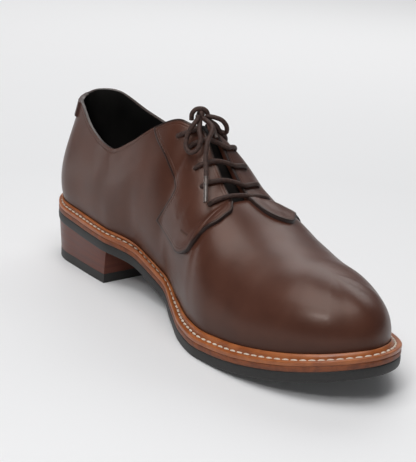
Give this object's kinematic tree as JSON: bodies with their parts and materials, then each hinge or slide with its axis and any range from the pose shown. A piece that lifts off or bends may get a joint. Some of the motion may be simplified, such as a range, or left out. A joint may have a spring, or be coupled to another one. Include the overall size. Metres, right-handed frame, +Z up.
{
  "type": "plain toe derby shoe",
  "caption": "Left plain toe derby in smooth leather with open lacing, a storm welt, a full-length outsole and a stacked heel, standing empty.",
  "frame": {"origin": "on the floor, under the middle of the outsole's length and width", "axes": "+X towards the toe, +Y towards the outer (lateral) side, +Z up"},
  "size_m": [0.3001, 0.1088, 0.123],
  "materials": {
    "upper_leather": "smooth, waxed, semi-gloss dark brown",
    "lining": "matt black",
    "welt_leather": "satin tan with an off-white stitch",
    "midsole_leather": "satin brown-orange edge",
    "heel_stack": "smooth, satin reddish brown edge",
    "sole_rubber": "matt near-black",
    "lace": "round waxed cord, dark brown",
    "aglet": "clear, gloss"
  },
  "bodies": {
    "root": {"upper": "upper_leather", "facing_medial": "upper_leather", "facing_lateral": "upper_leather", "tongue": "upper_leather", "heel_tab": "lining", "insole": "lining", "welt": "welt_leather", "midsole": "midsole_leather", "outsole": "sole_rubber", "heel_block": "heel_stack", "heel_lift": "sole_rubber", "lace_bar_2": "lace", "lace_bar_3": "lace", "lace_bar_4": "lace", "lace_bar_5": "lace", "lace_strand_medial": "lace", "lace_strand_lateral": "lace", "lace_knot": "lace", "lace_loop_medial": "lace", "lace_loop_lateral": "lace", "lace_end_medial": "lace", "lace_end_lateral": "lace", "aglet_medial": "aglet", "aglet_lateral": "aglet"}
  },
  "joints": []
}
